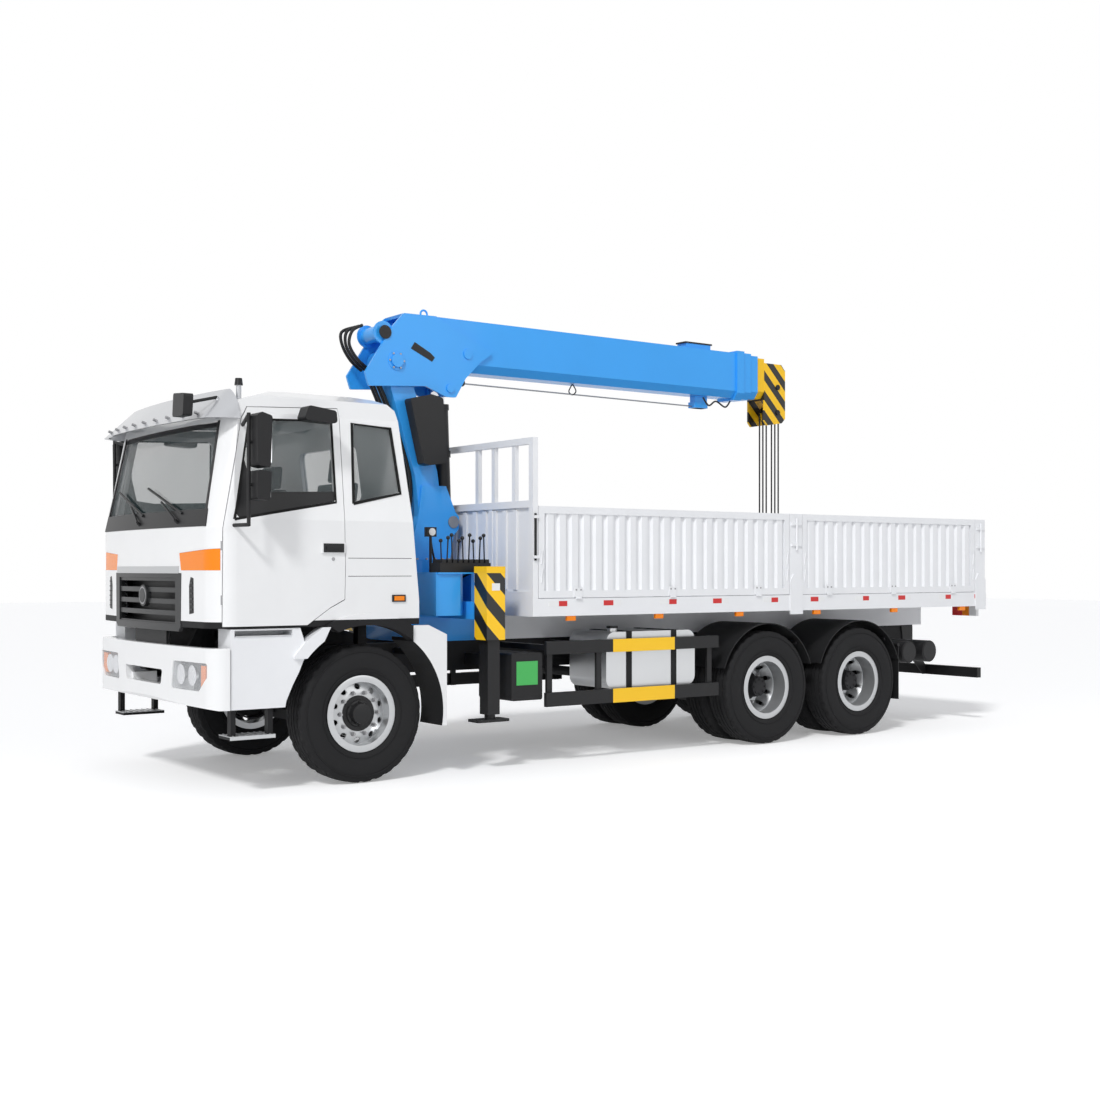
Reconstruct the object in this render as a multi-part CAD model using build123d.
from build123d import *
import math
import os

# A three-axle truck with a straight telescopic crane between its cab and its drop-side body.
# Millimetres and degrees. X runs forwards, Y to the vehicle's left, Z up from the ground.
# Most places along X are given from the front axle: forwards is positive.

# Overall
FRONT_OVERHANG = 1357.0
FRONT_REACH = 1460.0
REAR_REACH = 7725.0
FRONT_AXLE_X = (REAR_REACH - FRONT_REACH) / 2
BODY_HALF_WIDTH = 1225.0

# Fits and gaps
RUN_FIT = 0.08
SEAT_GAP = 0.3
PANEL_GAP = 6.0

# Wheels
TYRE_RADIUS = 542.5
TYRE_HALF_WIDTH = 146.0
BEAD_HALF_WIDTH = 104.0
BEAD_RADIUS = 262.3
RIM_RADIUS = 262.0
RIM_WALL = 12.0
FLANGE_RADIUS = 302.0
FLANGE_WALL = 13.0
DISC_WALL = 14.0
HAND_HOLES = 10
FRONT_TYRE_Y = 1005.0
OUTER_TYRE_Y = 1055.0
INNER_TYRE_Y = 715.0
BOGIE_FRONT = -4400.0
BOGIE_REAR = -5700.0
SPINDLE_RADIUS = 38.0
KINGPIN_Y = 850.0
KINGPIN_RADIUS = 24.0
HUB_RADIUS = 140.0
FRONT_FACE = 58.0
DUAL_FACE = (OUTER_TYRE_Y - INNER_TYRE_Y) / 2
DRUM_FLOOR_Y = 940.0
SPRING_Y = 385.0
SPRING_SEAT = 500.0
SPRING_PACK = 84.0

# Frame
RAIL_TOP = 1050.0
RAIL_BOTTOM = 790.0
RAIL_OUTER_Y = 430.0
RAIL_FLANGE = 80.0
RAIL_WALL = 9.0
RAIL_FRONT = 1100.0
RAIL_REAR = -7450.0
CROSS_MEMBERS = [1055.0, -900.0, -2200.0, -3500.0, -5050.0, -6400.0, -7400.0]

# Load bed
BED_FRONT = -1586.0
BED_REAR = -7700.0
BASE_RAIL_BOTTOM = 1276.0
BASE_RAIL_TOP = 1426.0
FLOOR_TOP = 1420.0
FLOOR_WALL = 35.0
BEARER_PITCH = 470.0
POST_WALL = 60.0
BOARD_TOP = 2213.0
BOARD_WALL = 48.0
BOARD_BORDER = 62.0
BOARD_HINGE_Y = BODY_HALF_WIDTH + 12.0
RIB_PITCH = 132.0
RIB_DEPTH = 22.0
SHEET_WALL = 6.0
MID_POST = (-4830.0, -4660.0)
REAR_POST = (-7680.0, -7510.0)
HEADBOARD_TOP = 2792.0
HEADBOARD_WALL = 54.0

# Cab
CAB_REAR = -470.0
CAB_BOTTOM = 1240.0
CAB_HALF_WIDTH = 1215.0
CAB_WALL = 48.0
CAB_WAIST = 1985.0
GLASS_WALL = 6.0
TILT_X = 1200.0
TILT_Z = 1000.0
TILT_PIN_RADIUS = 20.0
TUNNEL_HALF_WIDTH = 470.0
TUNNEL_TOP = 1560.0
ARCH_RADIUS = 700.0
ARCH_LIP = 95.0

# Crane
SLEW_X = -1220.0
PIVOT_X = -876.0
PIVOT_Z = 3500.0
CYLINDER_FOOT_X = -1475.0
CYLINDER_FOOT_Z = 2100.0
ROD_EYE_X = -1430.0
ROD_EYE_Z = 3297.0
BARREL_RADIUS = 72.0
ROD_RADIUS = 42.0
PIN_RADIUS = 38.0
SLEW_PLANE = 1662.0
BOOM_BOTTOM = 3465.0
BOOM_TOP = 3930.0
BOOM_HALF_WIDTH = 150.0
BOOM_CHAMFER = 70.0
BOOM_WALL = 9.0
SECTION_STEP = 15.0
SECTIONS = 3
COLLAR_LENGTH = 103.0
COLLAR_GAP = 8.0
COLLAR_RISE = 22.0
BOOM_REAR_END = -1050.0
BASE_COLLAR = -4985.0
SECTION_START = -1330.0
PLATE_WALL = 25.0
OUTRIGGER_X = -1210.0
BEAM_HALF = 62.0
HOUSING_WALL = 12.0
LEG_Y = 1130.0
SHEAVE_RADIUS = 82.0
ROPE_RADIUS = 8.0
HOOK_X = -5620.0
FALL_TOP = 3350.0
HOOK_SHEAVE_Z = 2120.0


def fa(x):
    """Place along X that lies x ahead of the front axle."""
    return FRONT_AXLE_X + x


def box(x0, x1, y0, y1, z0, z1):
    """Block between two corners, its X given from the front axle."""
    centre = Pos(fa((x0 + x1) / 2), (y0 + y1) / 2, (z0 + z1) / 2)
    return centre * Box(abs(x1 - x0), abs(y1 - y0), abs(z1 - z0))


def side_form(points, y0, y1, radius=0):
    """Outline seen from the side, made solid from y0 to y1."""
    corners = [(fa(x), y0, z) for x, z in points]
    line = FilletPolyline(*corners, radius=radius, close=True) if radius else Polyline(*corners, close=True)
    return extrude(make_face(line), amount=y1 - y0, dir=(0, 1, 0))


def front_form(points, x0, x1, radius=0):
    """Outline seen from the front, made solid from x0 to x1."""
    corners = [(fa(x0), y, z) for y, z in points]
    line = FilletPolyline(*corners, radius=radius, close=True) if radius else Polyline(*corners, close=True)
    return extrude(make_face(line), amount=x1 - x0, dir=(1, 0, 0))


def top_form(points, z0, z1, radius=0):
    """Outline seen from above, made solid from z0 to z1."""
    corners = [(fa(x), y, z0) for x, y in points]
    line = FilletPolyline(*corners, radius=radius, close=True) if radius else Polyline(*corners, close=True)
    return extrude(make_face(line), amount=z1 - z0, dir=(0, 0, 1))


def rod_x(x0, x1, y, z, radius):
    """Round bar along X."""
    return Pos(fa((x0 + x1) / 2), y, z) * Rot(0, 90, 0) * Cylinder(radius, abs(x1 - x0))


def rod_y(x, y0, y1, z, radius):
    """Round bar along Y."""
    return Pos(fa(x), (y0 + y1) / 2, z) * Rot(90, 0, 0) * Cylinder(radius, abs(y1 - y0))


def rod_z(x, y, z0, z1, radius):
    """Round bar along Z."""
    return Pos(fa(x), y, (z0 + z1) / 2) * Cylinder(radius, abs(z1 - z0))


def turned(points, x, z, side=1):
    """Ring turned about a cross axle, from an outline of (distance outwards, radius) points."""
    corners = [(fa(x), side * y, z + r) for y, r in points]
    return revolve(make_face(Polyline(*corners, close=True)), Axis((fa(x), 0, z), (0, 1, 0)))


def mirrored(solid):
    """The same piece on the vehicle's right."""
    return mirror(solid, about=Plane.XZ)


def both_sides(solid):
    """A piece on the left and its mirror image on the right."""
    return [solid, mirrored(solid)]


def save(name, *pieces):
    """Write one sub-part, made of one solid or of several that don't touch."""
    solids = []
    for piece in pieces:
        found = piece if isinstance(piece, list) else [piece]
        for shape in found:
            solids.extend(shape.solids())
    export_step(Compound(children=[Part(s.wrapped) for s in solids]), f"parts/{name}.step")


# Wheels


def tyre(x, y, side):
    """Road tyre with upright beads, full sidewalls and a slightly crowned tread."""
    bead = BEAD_HALF_WIDTH - SEAT_GAP
    outline = [(-bead, BEAD_RADIUS), (bead, BEAD_RADIUS)]
    half = [
        (bead, FLANGE_RADIUS + 4),
        (TYRE_HALF_WIDTH - 16, FLANGE_RADIUS + 26),
        (TYRE_HALF_WIDTH, (FLANGE_RADIUS + TYRE_RADIUS) / 2),
        (TYRE_HALF_WIDTH - 7, TYRE_RADIUS - 50),
        (TYRE_HALF_WIDTH - 22, TYRE_RADIUS - 14),
        (TYRE_HALF_WIDTH - 40, TYRE_RADIUS - 3),
        (0, TYRE_RADIUS),
    ]
    outline += half
    outline += [(-w, r) for w, r in reversed(half[:-1])]
    return turned([(y + w, r) for w, r in outline], x, TYRE_RADIUS, side)


def rim(x, y, side, seat, face):
    """Wheel rim: barrel with two flanges, and a dished disc whose hub face stands at distance face from its middle.

    seat is where the disc meets the barrel.
    """
    inner = RIM_RADIUS - RIM_WALL
    edge = BEAD_HALF_WIDTH + FLANGE_WALL
    outline = [
        (-edge, inner),
        (seat - DISC_WALL, inner),
        (seat - DISC_WALL, inner - 12),
        (face - DISC_WALL, 190),
        (face - DISC_WALL, HUB_RADIUS),
        (face, HUB_RADIUS),
        (face, 182),
        (seat, inner - 4),
        (seat, inner),
        (edge, inner),
        (edge, FLANGE_RADIUS),
        (BEAD_HALF_WIDTH, FLANGE_RADIUS),
        (BEAD_HALF_WIDTH, RIM_RADIUS),
        (-BEAD_HALF_WIDTH, RIM_RADIUS),
        (-BEAD_HALF_WIDTH, FLANGE_RADIUS),
        (-edge, FLANGE_RADIUS),
    ]
    return turned([(y + w, r) for w, r in outline], x, TYRE_RADIUS, side)


def front_hub(x, side):
    """Front hub with its brake drum, bored for the stub axle, and its grease cap."""
    middle = FRONT_TYRE_Y
    face = middle + FRONT_FACE
    outline = [
        (DRUM_FLOOR_Y, SPINDLE_RADIUS + RUN_FIT),
        (face + 18, SPINDLE_RADIUS + RUN_FIT),
        (face + 18, 0),
        (face + 66, 0),
        (face + 66, 62),
        (face + 12, 74),
        (face + 8, HUB_RADIUS),
        (face - DISC_WALL - 20, HUB_RADIUS),
        (face - DISC_WALL - 24, 160),
        (middle - 20, 205),
        (middle - 150, 210),
        (middle - 150, 196),
        (DRUM_FLOOR_Y, 192),
    ]
    return turned(outline, x, TYRE_RADIUS, side)


def rear_hub(x, side):
    """Rear hub with its brake drum, bored for the axle's end, and its long nose through the outer wheel."""
    middle = (OUTER_TYRE_Y + INNER_TYRE_Y) / 2
    outline = [
        (middle - 300, SPINDLE_RADIUS + RUN_FIT),
        (middle + 70, SPINDLE_RADIUS + RUN_FIT),
        (middle + 70, 0),
        (middle + 190, 0),
        (middle + 190, 84),
        (middle + 30, 100),
        (middle + 20, HUB_RADIUS),
        (middle - DISC_WALL - 6, HUB_RADIUS),
        (middle - DISC_WALL - 30, 190),
        (middle - 60, 212),
        (middle - 300, 212),
    ]
    return turned(outline, x, TYRE_RADIUS, side)


def hand_holes(x, y0, y1, side):
    """Cutters for the ring of openings in a wheel disc."""
    radius = 214
    cutters = []
    for i in range(HAND_HOLES):
        angle = math.radians(360 / HAND_HOLES * i)
        along = x + radius * math.cos(angle)
        up = TYRE_RADIUS + radius * math.sin(angle)
        cutters.append(rod_y(along, side * y0, side * y1, up, 22))
    return cutters


def front_wheel(name, side):
    """Front wheel: tyre, rim and hub."""
    wheel = rim(0, FRONT_TYRE_Y, side, 20, FRONT_FACE) + front_hub(0, side)
    save(f"wheel_{name}", tyre(0, FRONT_TYRE_Y, side), wheel)


def dual_wheel(name, x, side):
    """Twin rear wheels: two tyres on rims bolted back to back on one hub."""
    outer = rim(x, OUTER_TYRE_Y, side, -40, -DUAL_FACE + DISC_WALL)
    inner = rim(x, INNER_TYRE_Y, side, 60, DUAL_FACE)
    pair = outer + inner + rear_hub(x, side)
    save(f"wheels_{name}", tyre(x, OUTER_TYRE_Y, side), tyre(x, INNER_TYRE_Y, side), pair)


# Axles and running gear


def front_axle():
    """Dropped beam between the two kingpin eyes, with a pad under each spring."""
    eye_z = TYRE_RADIUS
    half = [
        (0, 395),
        (520, 395),
        (700, 470),
        (KINGPIN_Y - 40, 500),
        (KINGPIN_Y - 40, 585),
        (700, 570),
        (520, 480),
        (0, 470),
    ]
    outline = half + [(-y, z) for y, z in reversed(half[1:-1])]
    beam = front_form(outline, -45, 45)
    for side in (1, -1):
        eye = rod_z(0, side * KINGPIN_Y, eye_z - 45, eye_z + 45, 52)
        hole = rod_z(0, side * KINGPIN_Y, eye_z - 60, eye_z + 60, KINGPIN_RADIUS + RUN_FIT)
        pad = box(-90, 90, side * SPRING_Y - 50, side * SPRING_Y + 50, 440, SPRING_SEAT)
        beam = beam + eye + pad - hole
    return beam


def knuckle(side):
    """Steering knuckle: a fork with its kingpin round the beam's eye, the stub axle and a steering arm."""
    y = side * KINGPIN_Y
    z = TYRE_RADIUS
    low = rod_z(0, y, z - 46 - SEAT_GAP - 26, z - 46 - SEAT_GAP, 46)
    high = rod_z(0, y, z + 46 + SEAT_GAP, z + 46 + SEAT_GAP + 26, 46)
    pin = rod_z(0, y, z - 60, z + 60, KINGPIN_RADIUS)
    web_top = box(-40, 40, y, side * (KINGPIN_Y + 57), z + 46 + SEAT_GAP, z + 72)
    web_low = box(-40, 40, y, side * (KINGPIN_Y + 57), z - 72, z - 46 - SEAT_GAP)
    plate = box(-40, 40, side * (KINGPIN_Y + 55), side * (KINGPIN_Y + 57 + 20), z - 72, z + 72)
    stub = rod_y(0, side * (KINGPIN_Y + 60), side * (FRONT_TYRE_Y + FRONT_FACE + 10), z, SPINDLE_RADIUS)
    arm = box(-230, -30, side * (KINGPIN_Y - 50), side * (KINGPIN_Y - 10), z - 92, z - 70)
    return low + high + pin + web_top + web_low + plate + stub + arm


def rear_axles():
    """Two driven axles: a tube with a round differential bowl and a spindle at each end."""
    axles = []
    for x in (BOGIE_FRONT, BOGIE_REAR):
        inner_end = (OUTER_TYRE_Y + INNER_TYRE_Y) / 2 - 300 - 4
        tube = rod_y(x, -inner_end, inner_end, TYRE_RADIUS, 72)
        bowl = Pos(fa(x), 0, TYRE_RADIUS) * Sphere(205)
        nose = rod_x(x, x + 330, 0, TYRE_RADIUS + 20, 95)
        spindle_end = (OUTER_TYRE_Y + INNER_TYRE_Y) / 2 + 62
        spindle = rod_y(x, -spindle_end, spindle_end, TYRE_RADIUS, SPINDLE_RADIUS)
        axles.append(tube + bowl + nose + spindle)
    return axles


def spring(x, z_mid, z_end, reach, side):
    """Leaf pack, deepest at its middle, between two end heights."""
    y0 = side * SPRING_Y - 40
    mid = SPRING_PACK / 2
    points = [
        (x - reach, z_end - 12),
        (x - reach * 0.55, (z_mid + z_end) / 2 - 22 + (z_mid - z_end) * 0.22),
        (x - 90, z_mid - mid),
        (x + 90, z_mid - mid),
        (x + reach * 0.55, (z_mid + z_end) / 2 - 22 + (z_mid - z_end) * 0.22),
        (x + reach, z_end - 12),
        (x + reach, z_end + 12),
        (x + reach * 0.55, (z_mid + z_end) / 2 + 30 + (z_mid - z_end) * 0.22),
        (x + 90, z_mid + mid),
        (x - 90, z_mid + mid),
        (x - reach * 0.55, (z_mid + z_end) / 2 + 30 + (z_mid - z_end) * 0.22),
        (x - reach, z_end + 12),
    ]
    return side_form(points, y0, y0 + 80)


def leaf_springs():
    """Front pair under the frame and the bogie's pair across its two axles."""
    front_mid = SPRING_SEAT + SPRING_PACK / 2
    front = spring(0, front_mid, 690, 780, 1)
    for x in (-770, 770):
        front += side_form([(x - 35, 670), (x + 35, 670), (x + 50, RAIL_BOTTOM), (x - 50, RAIL_BOTTOM)],
                           SPRING_Y - 40, SPRING_Y + 40)
    middle = (BOGIE_FRONT + BOGIE_REAR) / 2
    reach = (BOGIE_FRONT - BOGIE_REAR) / 2
    axle_top = TYRE_RADIUS + 72
    bogie = spring(middle, 690, axle_top + 12, reach, 1)
    bogie += side_form([(middle - 120, 650), (middle + 120, 650), (middle + 170, RAIL_BOTTOM),
                        (middle - 170, RAIL_BOTTOM)], SPRING_Y - 40, SPRING_Y + 40)
    return both_sides(front) + both_sides(bogie)


def chassis_frame():
    """Ladder frame: two channel rails joined by cross members."""
    outer = box(RAIL_REAR, RAIL_FRONT, RAIL_OUTER_Y - RAIL_FLANGE, RAIL_OUTER_Y, RAIL_BOTTOM, RAIL_TOP)
    hollow = box(RAIL_REAR, RAIL_FRONT, RAIL_OUTER_Y - RAIL_FLANGE, RAIL_OUTER_Y - RAIL_WALL,
                 RAIL_BOTTOM + RAIL_WALL, RAIL_TOP - RAIL_WALL)
    rail = outer - hollow
    frame = rail + mirrored(rail)
    inside = RAIL_OUTER_Y - RAIL_WALL
    for x in CROSS_MEMBERS:
        member = box(x - 45, x + 45, -inside, inside, RAIL_BOTTOM + 60, RAIL_TOP - 60)
        member -= box(x - 30, x + 50, -inside + 25, inside - 25, RAIL_BOTTOM + 72, RAIL_TOP - 72)
        frame += member
    shaft_hole = box(CROSS_MEMBERS[1] - 50, CROSS_MEMBERS[1] - 25, -110, 110, RAIL_BOTTOM + 72, RAIL_TOP - 72)
    return frame - shaft_hole


def engine_block():
    """Engine under the cab, as one plain block."""
    return box(-250, 740, -330, 330, 800, 1440)


def driveline():
    """Gearbox behind the engine and the drive shafts to both rear axles."""
    outline = [(-250, 830), (-250, 1170), (-390, 1150), (-560, 1090), (-790, 1020), (-790, 850), (-560, 800)]
    gearbox = side_form(outline, -170, 170)
    shaft = slanted_shaft((-780, 935), (BOGIE_FRONT + 350, TYRE_RADIUS + 20), 0, 45)
    second = slanted_shaft((BOGIE_FRONT - 225, TYRE_RADIUS + 10), (BOGIE_REAR + 350, TYRE_RADIUS + 20), 0, 45)
    return gearbox + shaft, second


def slanted_shaft(start, end, y, radius):
    """Round bar between two places in one upright plane."""
    a = Vector(fa(start[0]), y, start[1])
    b = Vector(fa(end[0]), y, end[1])
    plane = Plane(origin=(a + b) / 2, z_dir=b - a)
    return plane * Cylinder(radius, (b - a).length)


def bar(start, end, radius):
    """Round bar between any two places, their X given from the front axle."""
    a = Vector(fa(start[0]), start[1], start[2])
    b = Vector(fa(end[0]), end[1], end[2])
    return Plane(origin=(a + b) / 2, z_dir=b - a) * Cylinder(radius, (b - a).length)


def radiator():
    """Radiator with its fan cowl, behind the grille."""
    core = box(940, 1000, -330, 330, 800, 1460)
    cowl = front_form([(-290, 860), (290, 860), (290, 1400), (-290, 1400)], 870, 941, 60)
    shaft = rod_x(739, 871, 0, 1120, 45)
    feet = box(950, 990, -RAIL_OUTER_Y + RAIL_FLANGE, RAIL_OUTER_Y - RAIL_FLANGE, 960, 1000)
    return core + cowl + shaft + feet


def fuel_tank():
    """Rounded aluminium tank hung on the left rail, with its filler neck."""
    tank = side_form([(-3490, 616), (-2440, 616), (-2440, 1120), (-3490, 1120)], 620, 1150, 90)
    return tank + rod_z(-2620, 1010, 1115, 1150, 45)


def tank_brackets():
    """Brackets and straps that hold the tank on the rail."""
    pieces = []
    for x in (-2700, -3230):
        band = side_form([(x - 30, 1126), (x + 30, 1126), (x + 30, 1120), (x - 30, 1120)], 620, 1156)
        face = box(x - 30, x + 30, 1150, 1156, 610, 1126)
        foot = box(x - 30, x + 30, RAIL_OUTER_Y, 1156, 600, 616)
        back = box(x - 30, x + 30, RAIL_OUTER_Y, 614, 616, RAIL_TOP)
        pieces.append(band + face + foot + back)
    return pieces


def battery_box():
    """Battery box on the left rail behind the crane."""
    body = side_form([(-1710, 570), (-1390, 570), (-1390, 970), (-1710, 970)], 700, 1190, 20)
    arm = box(-1680, -1420, RAIL_OUTER_Y, 700, 840, 940)
    return body + arm


def air_tanks():
    """Air reservoirs: two on the right rail and two across the frame's rear end."""
    pieces = []
    for x in (-2300, -3300):
        tank = rod_x(x - 430, x + 430, -800, 820, 130)
        arm = box(x - 60, x + 60, -RAIL_OUTER_Y - 250, -RAIL_OUTER_Y, 780, 860)
        pieces.append(tank + arm)
    for x in (-6620, -6950):
        tank = rod_y(x, 460, 1060, 800, 115)
        arm = box(x - 40, x + 40, RAIL_OUTER_Y, 470, 760, 880)
        pieces.append(tank + arm)
    return pieces


def side_guards():
    """Two rails a side below the bed, on arms from the frame."""
    front = -1706 - 25
    rear = -3724
    upper = box(rear, front, 1185, 1222, 950, 1060)
    lower = box(rear, front, 1185, 1222, 505, 625)
    guard = upper + lower
    for x in (-1790, -2330, -3640):
        guard += box(x - 28, x + 28, 1160, 1186, 505, 1060)
        guard += box(x - 28, x + 28, RAIL_OUTER_Y, 1161, 980, 1030)
    return both_sides(guard)


def underrun_bar():
    """Bar across the rear end, on two slanted plates."""
    bar = box(-REAR_REACH, -REAR_REACH + 60, -1140, 1140, 488, 598)
    plate = side_form([(-7300, 800), (-7440, 800), (-REAR_REACH + 60, 598), (-REAR_REACH + 60, 488), (-7620, 488)],
                      RAIL_OUTER_Y, RAIL_OUTER_Y + 12)
    plate += side_form([(-7250, 1040), (-7440, 1040), (-7440, 790), (-7290, 790)], RAIL_OUTER_Y, RAIL_OUTER_Y + 12)
    return bar + plate + mirrored(plate)


def rear_mudguards():
    """A curved guard over each pair of rear wheels, its stays, and a flap behind the last."""
    pieces = []
    for x in (BOGIE_FRONT, BOGIE_REAR):
        ring = rod_y(x, 570, 1200, TYRE_RADIUS, 618) - rod_y(x, 560, 1210, TYRE_RADIUS, 610)
        ring = ring & box(x - 640, x + 640, 560, 1210, TYRE_RADIUS + 205, TYRE_RADIUS + 640)
        for end in (-430, 430):
            ring += rod_y(x + end, RAIL_OUTER_Y, 1150, 960, 16)
        pieces += both_sides(ring)
    flap = box(-6300, -6292, 570, 1190, 330, 900)
    flap += rod_y(-6296, RAIL_OUTER_Y, 1190, 895, 18)
    pieces += both_sides(flap)
    return pieces


# Load bed


def bed_floor():
    """Floor plate inside a rail that runs round its edge."""
    edge = BODY_HALF_WIDTH
    plate = box(BED_REAR, BED_FRONT, -edge + 50, edge - 50, FLOOR_TOP - FLOOR_WALL, FLOOR_TOP)
    rail = box(BED_REAR, BED_FRONT, edge - 50, edge, BASE_RAIL_BOTTOM, BASE_RAIL_TOP)
    end = box(BED_REAR, BED_REAR + 50, -edge + 50, edge - 50, BASE_RAIL_BOTTOM, BASE_RAIL_TOP)
    front = box(BED_FRONT - 50, BED_FRONT, -edge + 50, edge - 50, BASE_RAIL_BOTTOM, BASE_RAIL_TOP)
    return plate + rail + mirrored(rail) + end + front


def bed_subframe():
    """Two long sills on the frame rails and the cross bearers on them."""
    top = FLOOR_TOP - FLOOR_WALL
    half = BODY_HALF_WIDTH - 50
    sill = box(-7600, BED_FRONT - 60, RAIL_OUTER_Y - RAIL_FLANGE, RAIL_OUTER_Y, RAIL_TOP, 1290)
    frame = sill + mirrored(sill)
    x = BED_FRONT - 250
    while x > BED_REAR + 150:
        frame += box(x - 30, x + 30, -half, half, 1290, top)
        x -= BEARER_PITCH
    return frame


def headboard():
    """Fixed front wall: a sheet below, an open gate above and a tall post at each corner."""
    x0 = BED_FRONT - HEADBOARD_WALL
    x1 = BED_FRONT
    inner = BODY_HALF_WIDTH - POST_WALL
    wall = box(x0, x1, inner, BODY_HALF_WIDTH, BASE_RAIL_TOP, HEADBOARD_TOP)
    wall += mirrored(wall)
    wall += box(x0, x1, -inner, inner, HEADBOARD_TOP - 55, HEADBOARD_TOP)
    wall += box(x0, x1, -inner, inner, 2200, 2260)
    wall += box(x0, x1, -inner, inner, BASE_RAIL_TOP, BASE_RAIL_TOP + 60)
    wall += box(x0 + 20, x0 + 28, -inner, inner, BASE_RAIL_TOP + 60, 2200)
    for y in (365, 620, 930):
        bar = box(x0 + 8, x1 - 8, y - 24, y + 24, 2260, HEADBOARD_TOP - 55)
        wall += bar + mirrored(bar)
    for y in (0, 580):
        stiffener = box(x0 + 28, x1 - 6, y - 25, y + 25, BASE_RAIL_TOP + 60, 2200)
        wall += stiffener + mirrored(stiffener)
    return wall


def bed_posts():
    """Posts between and behind the side boards, each with its tapered bracket over the base rail."""
    pieces = []
    for x0, x1 in (MID_POST, REAR_POST):
        post = box(x0, x1, BODY_HALF_WIDTH - POST_WALL, BODY_HALF_WIDTH, BASE_RAIL_TOP, BOARD_TOP)
        bracket = side_form([(x0, 1240), (x1, 1240), (x1, 1560), (x1 - 45, 1632), (x0 + 45, 1632), (x0, 1560)],
                            BODY_HALF_WIDTH, BODY_HALF_WIDTH + 12)
        pieces += both_sides(post + bracket)
    return pieces


def ribbed_sheet(length, height, depth):
    """Upright corrugated sheet along X, from 0 to length, its ribs out to depth."""
    step = length / round(length / RIB_PITCH)
    outer = []
    inner = []
    x = 0.0
    while x < length - step / 2:
        for share, y in ((0.08, 0.0), (0.22, depth), (0.72, depth), (0.86, 0.0)):
            outer.append((x + share * step, y + SHEET_WALL))
            inner.append((x + share * step, y))
        x += step
    outer = [(0.0, SHEET_WALL)] + outer + [(length, SHEET_WALL)]
    inner = [(0.0, 0.0)] + inner + [(length, 0.0)]
    points = [(a, b, 0.0) for a, b in outer] + [(a, b, 0.0) for a, b in reversed(inner)]
    return extrude(make_face(Polyline(*points, close=True)), amount=height, dir=(0, 0, 1))


def board(length):
    """Drop board lying along X from 0, its outer face at Y 0: a ribbed sheet in a square border."""
    height = BOARD_TOP - BASE_RAIL_TOP - PANEL_GAP
    border = Pos(length / 2, -BOARD_WALL / 2, height / 2) * Box(length, BOARD_WALL, height)
    window = Pos(length / 2, -BOARD_WALL / 2, height / 2) * Box(
        length - 2 * BOARD_BORDER, BOARD_WALL + 2, height - 2 * BOARD_BORDER)
    sheet = ribbed_sheet(length - 2 * BOARD_BORDER, height - 2 * BOARD_BORDER, RIB_DEPTH)
    sheet = Pos(BOARD_BORDER, -RIB_DEPTH - SHEET_WALL - 6, BOARD_BORDER) * sheet
    result = border - window + sheet
    for share in (0.14, 0.5, 0.86):
        knuckle_x = length * share
        strap = Pos(knuckle_x, 3, 40) * Box(70, 6, 80 - 2 * PANEL_GAP)
        result += strap
        result += Pos(knuckle_x, 7, 5) * Box(60, 10, 18)
        result += Pos(knuckle_x, 12, -6) * Rot(0, 90, 0) * Cylinder(8, 60)
    return result


def side_boards():
    """Four boards along the sides."""
    z = BASE_RAIL_TOP + PANEL_GAP
    spans = {
        "front": (MID_POST[1] + PANEL_GAP, BED_FRONT - HEADBOARD_WALL - PANEL_GAP),
        "rear": (REAR_POST[1] + PANEL_GAP, MID_POST[0] - PANEL_GAP),
    }
    for place, (x0, x1) in spans.items():
        left = Pos(fa(x0), BODY_HALF_WIDTH, z) * board(x1 - x0)
        save(f"side_board_{place}_left", left)
        save(f"side_board_{place}_right", mirrored(left))


def tailboard():
    """Board across the rear end, between the rear posts."""
    half = BODY_HALF_WIDTH - POST_WALL - PANEL_GAP
    panel = Rot(0, 0, 90) * board(2 * half)
    return Pos(fa(BED_REAR), -half, BASE_RAIL_TOP + PANEL_GAP) * panel


def marker_lamps():
    """Side lamps under the base rail and the rear lamp clusters."""
    pieces = []
    for x in (-2000, -3000, -4000, -5050, -6200, -7300):
        lamp = box(x - 45, x + 45, BODY_HALF_WIDTH - 34, BODY_HALF_WIDTH - 6, BASE_RAIL_BOTTOM - 42, BASE_RAIL_BOTTOM)
        pieces += both_sides(lamp)
    cluster = box(BED_REAR + 4, BED_REAR + 48, 820, 1130, BASE_RAIL_BOTTOM - 110, BASE_RAIL_BOTTOM)
    pieces += both_sides(cluster)
    return pieces


# Chassis front end


def cab_mounts():
    """Front fork brackets with the cab's tilt pins, and the arch that carries the cab's rear edge."""
    pieces = []
    for side in (1, -1):
        y = side * (RAIL_OUTER_Y + 100)
        arm = side_form([(1040, 810), (1040, RAIL_TOP), (1170, TILT_Z + 42), (TILT_X + 34, TILT_Z + 36),
                         (TILT_X + 42, TILT_Z - 38), (1150, 850)], y - 52, y + 52)
        block = box(1040, 1100, side * RAIL_OUTER_Y, y, 830, RAIL_TOP)
        slot = box(1112, TILT_X + 90, y - 30, y + 30, TILT_Z - 52, TILT_Z + 90)
        pin = rod_y(TILT_X, y - 52, y + 52, TILT_Z, TILT_PIN_RADIUS)
        pieces.append(arm + block - slot + pin)
    foot = box(-430, -350, RAIL_OUTER_Y - RAIL_FLANGE, RAIL_OUTER_Y, RAIL_TOP, CAB_BOTTOM - 40)
    arch = foot + mirrored(foot)
    arch += box(-430, -350, -RAIL_OUTER_Y, RAIL_OUTER_Y, CAB_BOTTOM - 60, CAB_BOTTOM - PANEL_GAP)
    pieces.append(arch)
    return pieces


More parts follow.
